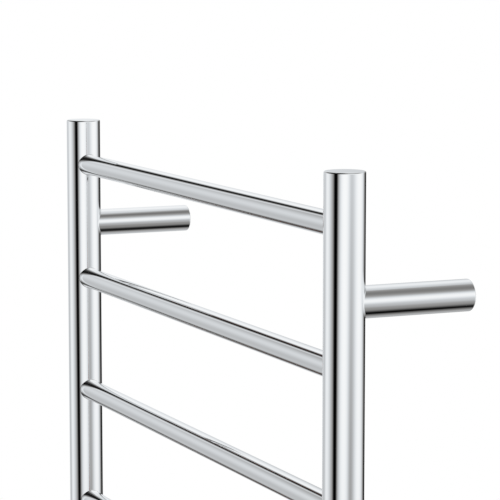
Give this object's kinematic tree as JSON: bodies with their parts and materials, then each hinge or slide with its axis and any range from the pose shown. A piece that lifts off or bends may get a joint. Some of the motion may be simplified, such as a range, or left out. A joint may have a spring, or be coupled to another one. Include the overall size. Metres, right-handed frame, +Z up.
{
  "type": "towel warmer rack",
  "caption": "Electric ladder towel warmer: two round uprights joined by thinner round rungs, on wall posts, with a heating cable in the tubes, a cable gland and a push switch below.",
  "frame": {"origin": "on the wall plane, at the centre of the rectangle of the four wall posts", "axes": "+X along the rungs to the right as seen from the room, +Y into the wall, +Z up along the uprights"},
  "size_m": [0.6, 0.122, 0.7524],
  "materials": {
    "chrome": "mirror polished",
    "steel": "machined, zinc plated",
    "nickel": "nickel plated, satin",
    "brass": "plain, slightly dulled",
    "rubber": "matt",
    "black_insulation": "matt",
    "brown_insulation": "satin",
    "blue_insulation": "satin",
    "green_insulation": "satin, green with a yellow stripe",
    "silicone": "silicone, matt",
    "ceramic": "glazed steatite",
    "lens": "moulded, translucent"
  },
  "bodies": {
    "rack": {"upright_left": "chrome", "upright_right": "chrome", "rung_1": "chrome", "rung_2": "chrome", "rung_3": "chrome", "rung_4": "chrome", "rung_5": "chrome", "rung_6": "chrome", "rung_7": "chrome", "top_cap_left": "chrome", "top_cap_right": "chrome", "bottom_cap_left": "chrome", "bottom_cap_right": "chrome", "wall_post_top_left": "chrome", "wall_post_top_right": "chrome", "wall_post_bottom_left": "chrome", "wall_post_bottom_right": "chrome", "switch_body": "chrome", "wall_boss_top_left": "steel", "wall_boss_top_right": "steel", "wall_boss_bottom_left": "steel", "wall_boss_bottom_right": "steel", "set_screw_top_left": "steel", "set_screw_top_right": "steel", "set_screw_bottom_left": "steel", "set_screw_bottom_right": "steel", "cap_screw_left": "steel", "cap_screw_right": "steel", "thermal_cutout": "steel", "earth_screw": "steel", "switch_spring": "steel", "gland_body": "nickel", "gland_nut": "nickel", "switch_nut": "nickel", "terminal_screw_live": "brass", "terminal_screw_earth": "brass", "terminal_screw_neutral": "brass", "earth_tag": "brass", "switch_blade_line": "brass", "switch_blade_load": "brass", "cap_seal_left": "rubber", "cap_seal_right": "rubber", "gland_seal": "rubber", "gland_gasket": "rubber", "switch_gasket": "rubber", "start_sleeve": "black_insulation", "end_sleeve": "black_insulation", "load_lead": "black_insulation", "switch_base": "black_insulation", "live_lead": "brown_insulation", "return_lead": "blue_insulation", "earth_lead": "green_insulation", "heating_cable": "silicone", "terminal_block": "ceramic", "indicator_ring": "lens"},
    "button": {"switch_button": "chrome", "contact_bridge": "brass"}
  },
  "joints": [
    {"name": "switch_press", "type": "slide", "parent": "rack", "child": "button", "axis": [0, 0, 1], "range_m": [0, 0.0022], "stiffness_N_per_m": 800, "springref_m": -0.001, "deforming": ["switch_spring"]}
  ]
}
